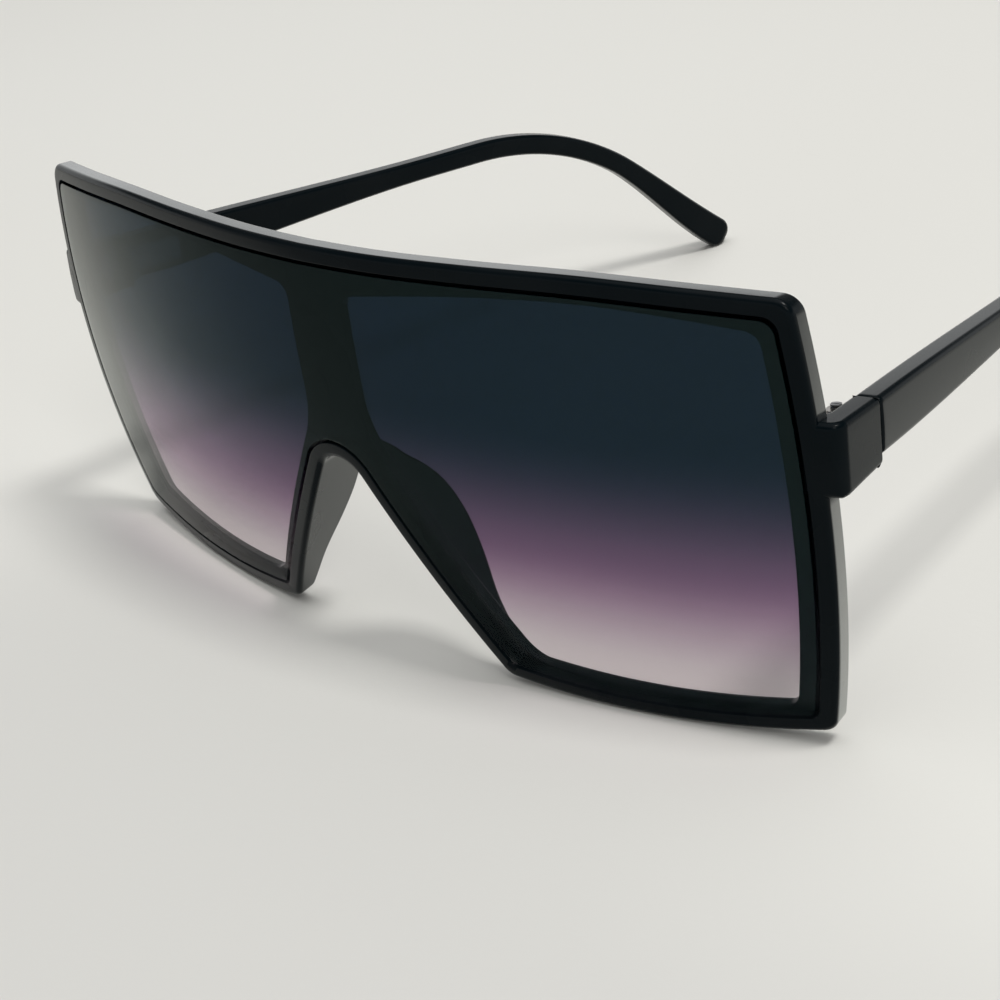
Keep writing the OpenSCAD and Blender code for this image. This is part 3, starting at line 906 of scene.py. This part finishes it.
# %% Endpiece
# How much further it reaches down and up at the front, and the rounding of its long edges
FLARE_DOWN, FLARE_UP, END_ROUND = 1.1, 0.275, 0.9
END_LEVELS, END_STEPS = 6, 4
# Share of the upper edge's rounding that is left out at the joint, to meet the temple
JOINT_HELD = 0.7
# How far it may stand proud of the front, so that the two faces don't coincide
PROUD = 0.01


def endpiece_loop(share, inset):
    """A level of the endpiece, from its underside at 0 to its top at 1, moved inward."""
    places = []
    for point, moved in zip(plan, grown(plan, -inset)):
        if share == 1 and moved.y < point.y and point.y > -END_LEN / 2:
            moved.y += JOINT_HELD * (point.y - moved.y)
        front_share = (-JOINT_GAP - point.y) / (END_LEN + FRAME_T - JOINT_GAP)
        low = -END_UNDER - FLARE_DOWN * front_share
        high = END_TOP + FLARE_UP * front_share
        z = (low + END_ROUND) + (high - low - 2 * END_ROUND) * share
        if share in (0, 1):
            over = END_ROUND * sqrt(max(1 - (1 - inset / END_ROUND) ** 2, 0))
            z += over if share == 1 else -over
        place = beside(moved.x, moved.y, z)
        v = place / MM - BALL_C
        most = FRONT_R + PROUD - inset
        if v.length > most:
            place = (BALL_C + v.normalized() * most) * MM
        places.append(place)
    return places


end_insets = [END_ROUND * (1 - cos(pi / 2 * k / END_STEPS)) for k in range(END_STEPS + 1)]
end_loops = [endpiece_loop(0, inset) for inset in reversed(end_insets)]
end_loops += [endpiece_loop(k / END_LEVELS, 0) for k in range(1, END_LEVELS)]
end_loops += [endpiece_loop(1, inset) for inset in end_insets]
endpiece = draw_band("endpiece", end_loops)
close_ends(endpiece)
bpy.ops.object.mode_set(mode="OBJECT")
check_closed(endpiece)


# %% Mirror images and cuts
def mirror_copy(piece, name):
    """The same piece for the wearer's right side, with its own mesh."""
    select_only(piece)
    bpy.ops.object.duplicate(linked=False)
    other = bpy.context.object
    other.name = name
    other.data.name = name
    other.scale.x = -1
    bpy.ops.object.transform_apply(location=False, rotation=False, scale=True)
    bpy.ops.object.mode_set(mode="EDIT")
    heal(other)
    bpy.ops.object.mode_set(mode="OBJECT")
    return other


def combine(piece, tool, operation):
    """Joins a tool to a piece or cuts it away, and removes the tool."""
    use_modifier(piece, "BOOLEAN", object=tool, operation=operation, solver="EXACT")
    bpy.data.objects.remove(tool)


# Thickness, height and level of a hinge leaf, and how far the leaves reach along
LEAF_T, LEAF_H, AXIS_Z = 0.9, 4.0, -0.6
FRONT_LEAF_START, TEMPLE_LEAF_END = -0.55 * END_LEN, 9.0
# Play of a leaf in its seat, and how far the cutter runs past the inner face
SEAT_FIT, OVERRUN = 0.03, 1.0


def leaf_seat(start, end):
    """A block that cuts the seat of a hinge leaf from the inner face, along the temple."""
    bpy.ops.mesh.primitive_cube_add(size=1)
    block = bpy.context.object
    size = Vector((OVERRUN + LEAF_T + SEAT_FIT, end - start + 2 * SEAT_FIT, LEAF_H + 2 * SEAT_FIT))
    middle = Vector((-TEMPLE_T - OVERRUN + size.x / 2, (start + end) / 2, AXIS_Z))
    scaling = Matrix.Diagonal((size * MM).to_4d())
    block.data.transform(side_frame @ Matrix.Translation(middle * MM) @ scaling)
    return block


# %% Join the endpieces to the front
combine(endpiece, leaf_seat(FRONT_LEAF_START, -LEAF_T), "DIFFERENCE")
combine(front, mirror_copy(endpiece, "endpiece_right"), "UNION")
combine(front, endpiece, "UNION")
polish_shading(front)
check_closed(front)
front.data.materials.append(black)
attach(front, "front")
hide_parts("front_frame")

# %% [markdown]
# ## Lens
# One thin shield lies in the recess, half a millimetre clear of the rim all round, which
# leaves the fine dark groove. It is drawn with the same outline: rings spread from the
# middle of one eye over its back, turn round the edge and close over its front, so it is
# a closed sheet of real thickness and both faces tint the light.

# %% Rings of the lens
# Middle of the rings on one half, and the share of the way out at which each ring lies
LENS_MIDDLE = Vector((38, 40))
RING_SHARES = (0.03, 0.15, 0.3, 0.45, 0.6, 0.74, 0.86, 0.95, 1)
LENS_EDGE_R = 0.12


def lens_rings(depth):
    """Rings on one face of the lens, from the middle of one half out to the edge."""
    edge = front_outline(LENS_IN + LENS_EDGE_R)
    return [ball_loop([LENS_MIDDLE.lerp(point, share) for point in edge], depth)
            for share in RING_SHARES]


edge_turn = rounding(LENS_EDGE_R, 2)[1:]
lens_loops = lens_rings(LENS_T)
lens_loops += [ball_loop(front_outline(LENS_IN + out), LENS_T - up) for out, up in edge_turn]
lens_loops += [ball_loop(front_outline(LENS_IN + out), up) for out, up in reversed(edge_turn)]
lens_loops += reversed(lens_rings(0))
print("rings of the lens:", len(lens_loops))

# %% Draw the lens
shield = draw_band("gradient_shield", lens_loops)
close_ends(shield)
mirror_half(shield)
polish_shading(shield)
check_closed(shield)
shield.data.materials.append(tint_material)
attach(shield, "front")
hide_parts("shield_lens")

# %% [markdown]
# ## Temples
# Each temple is one bar that thins from the hinge to its middle, bends down behind the
# ear and widens again to a rounded tip. Its sections are rounded oblongs set square to
# the line of the bar. The root is eased all round, so that the joint shows as a fine dark
# line between two soft edges.

# %% Line of the temple
# Length of the straight, radius and angle of the bend, and thickness at the tip
STRAIGHT, BEND_R, BEND, TIP_T = 72.3, 57.0, radians(36.2), 3.0
# How far the bar reaches above and below its line at the root, in the middle and at the tip
ROOT_REACH, SLIM_REACH, TIP_REACH = Vector((3.4, 4.1)), Vector((2.15, 1.55)), Vector((1.1, 4.6))
# Shares of the straight and of the tip along which the bar thins and widens
THINNING, WIDENING = 0.86, 1.1
TIP_ROUND = sum(TIP_REACH) / 2
BEND_LEN = BEND_R * BEND
# The last stretch is as long as it takes for the tip to rest on the floor
bend_y = STRAIGHT + BEND_R * sin(BEND)
bend_z = TEMPLE_Z - bend_y * sin(TEMPLE_PITCH) - BEND_R * (1 - cos(BEND)) * cos(TEMPLE_PITCH)
TIP_LEN = (bend_z - TIP_ROUND - (TIP_REACH.y - TIP_REACH.x) / 2 * cos(TEMPLE_PITCH + BEND))
TIP_LEN /= sin(TEMPLE_PITCH + BEND)
LINE_LEN = STRAIGHT + BEND_LEN + TIP_LEN
print("length along the temple:", round(LINE_LEN, 1), "mm")


def line_turn(s):
    """How far the bar has turned down, at a distance along it."""
    return min(max(s - STRAIGHT, 0) / BEND_R, BEND)


def line_place(s):
    """Distances along and up from the joint, at a distance along the bar."""
    a = line_turn(s)
    rest = max(0, s - STRAIGHT - BEND_LEN)
    start = min(s, STRAIGHT)
    bent = Vector((start + BEND_R * sin(a), -BEND_R * (1 - cos(a))))
    return bent + rest * Vector((cos(a), -sin(a)))


def line_reach(s):
    """How far the bar reaches above and below its line."""
    root = 1 - smooth(s / (THINNING * STRAIGHT))
    tip = smooth(1 - (LINE_LEN - s) / (WIDENING * TIP_LEN))
    return SLIM_REACH + (ROOT_REACH - SLIM_REACH) * root + (TIP_REACH - SLIM_REACH) * tip


def line_thickness(s):
    """The bar's thickness from side to side."""
    return TEMPLE_T + (TIP_T - TEMPLE_T) * s / LINE_LEN


# %% Section of the temple
CORNER_POINTS = 6
# Share of the bar that its corners round, their least radius, and the outer side's crown
CORNER_SHARE, LEAST_CORNER_R, CROWN = 0.24, 0.1, 0.09


def temple_loop(s, ahead=0.0, inset=0.0, height_share=1.0, thick_share=1.0):
    """A rounded oblong square to the bar. Its outer side is very slightly crowned."""
    a = line_turn(s)
    above_line, below_line = line_reach(s)
    lift = (above_line - below_line) / 2
    middle = line_place(s) + ahead * Vector((cos(a), -sin(a))) + lift * Vector((sin(a), cos(a)))
    h = (above_line + below_line) * height_share - 2 * inset
    t = line_thickness(s) * thick_share - 2 * inset
    r = max(CORNER_SHARE * min(h, t), LEAST_CORNER_R)
    corners = [(1, 1, 0), (-1, 1, pi / 2), (-1, -1, pi), (1, -1, 3 * pi / 2)]
    places = []
    for x_sign, z_sign, first in corners:
        for k in range(CORNER_POINTS):
            g = first + pi / 2 * k / (CORNER_POINTS - 1)
            x = x_sign * (t / 2 - r) + r * cos(g)
            z = z_sign * (h / 2 - r) + r * sin(g)
            places.append((x, z))
        if (x_sign, z_sign) == (-1, 1):
            places += [(-t / 2, (h / 2 - r) * u) for u in (0.5, 0, -0.5)]
        if (x_sign, z_sign) == (1, -1):
            places += [(t / 2 + CROWN * (1 - u * u), (h / 2 - r) * u) for u in (-0.5, 0, 0.5)]
    bar = -line_thickness(s) / 2
    return [beside(bar + x, middle.x + z * sin(a), middle.y + z * cos(a)) for x, z in places]


# %% Draw the temple
# Rounding of the root, and where the even sections of the straight begin
ROOT_ROUND, STRAIGHT_FROM = 0.4, 1
STRAIGHT_N, BEND_N, TIP_N, CAP_N = 34, 26, 18, 8
# The tip's rounding stops short of a point, and thins more slowly than it narrows
CAP_TURN, CAP_THINNING = radians(86), 0.45


def stretch(start, length, count):
    """Sections at even distances along a stretch of the bar, without the last."""
    return [temple_loop(start + length * k / count) for k in range(count)]


temple_loops = [temple_loop(JOINT_GAP + back, inset=out) for out, back in rounding(ROOT_ROUND)]
temple_loops += stretch(STRAIGHT_FROM, STRAIGHT - STRAIGHT_FROM, STRAIGHT_N)
temple_loops += stretch(STRAIGHT, BEND_LEN, BEND_N)
temple_loops += stretch(STRAIGHT + BEND_LEN, TIP_LEN, TIP_N)
for k in range(CAP_N + 1):
    g = CAP_TURN * k / CAP_N
    temple_loops.append(temple_loop(LINE_LEN, ahead=TIP_ROUND * sin(g), height_share=cos(g),
                                    thick_share=cos(g) ** CAP_THINNING))
temple = draw_band("side_arm_left", temple_loops)
close_ends(temple)
bpy.ops.object.mode_set(mode="OBJECT")
combine(temple, leaf_seat(LEAF_T, TEMPLE_LEAF_END), "DIFFERENCE")
temple_right = mirror_copy(temple, "side_arm_right")
for piece, side in ((temple, "left"), (temple_right, "right")):
    polish_shading(piece)
    check_closed(piece)
    piece.data.materials.append(black)
    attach(piece, side + "_temple")
    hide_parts("temple_" + side)

# %% [markdown]
# ## Hinges
# The leaves and screws are small turned and stamped parts whose shapes the CAD model
# already gives exactly. What it lacks is the broken edge that tumbling leaves on metal,
# and that edge is what catches the light. A copy of each node is merged, its flat faces
# are made whole, and its edges are bevelled. The screw heads are drawn in first, because
# the photograph shows them smaller than the CAD model has them.


# %% A smaller screw head
# The head's height and a little more, and the share of its width that is left
HEAD_REACH, HEAD_SHARE = 0.62, 0.72


def narrow_head(piece, side_sign):
    """Draws the head of a screw in towards its axis."""
    axis = side_frame.to_3x3() @ Vector((0, 0, 1))
    axis.x *= side_sign
    top = max(point.co.dot(axis) for point in piece.data.vertices)
    head_from = top - HEAD_REACH * MM
    head = [point for point in piece.data.vertices if point.co.dot(axis) > head_from]
    centre = sum((point.co for point in head), Vector()) / len(head)
    for point in head:
        v = point.co - centre
        height = v.dot(axis) * axis
        point.co = centre + height + HEAD_SHARE * (v - height)
    print(piece.name, "has", len(head), "points in its head")


# %% Copies of the hinge nodes with softened edges
# Degrees up to which two faces are one, and from which an edge is bevelled
FLAT_ANGLE, EDGE_ANGLE = 1, 40


def soften(node, name, width, side_sign):
    """A copy of a CAD node with its edges bevelled."""
    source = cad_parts[node]
    piece = source.copy()
    piece.data = source.data.copy()
    piece.parent = None
    for key in list(piece.keys()):
        del piece[key]
    piece.name = name
    piece.data.name = name
    piece.data.materials.clear()
    bpy.context.scene.collection.objects.link(piece)
    select_only(piece)
    bpy.ops.object.mode_set(mode="EDIT")
    heal(piece)
    bpy.ops.mesh.dissolve_limited(angle_limit=radians(FLAT_ANGLE))
    bpy.ops.object.mode_set(mode="OBJECT")
    if "screw" in node:
        narrow_head(piece, side_sign)
    use_modifier(piece, "BEVEL", width=width * MM, segments=2, limit_method="ANGLE",
                 angle_limit=radians(EDGE_ANGLE), use_clamp_overlap=True)
    polish_shading(piece, EDGE_ANGLE)
    check_closed(piece)
    return piece


# %% Hinge pieces on both sides
for side, side_sign in (("left", 1), ("right", -1)):
    arm = side + "_temple"
    hinge_parts = [("front_hinge_leaf_", "front", leaf_metal, "hinge_steel", 0.10),
                   ("temple_hinge_leaf_", arm, leaf_metal, "hinge_steel", 0.10),
                   ("hinge_screw_", "front", screw_metal, "screw_steel", 0.07)]
    for node, body, finish, slot, width in hinge_parts:
        piece = soften(node + side, "bevelled_" + node + side, width, side_sign)
        piece.data.materials.append(finish)
        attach(piece, body)
        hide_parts(node + side)

# %% Update the scene
bpy.context.view_layer.update()
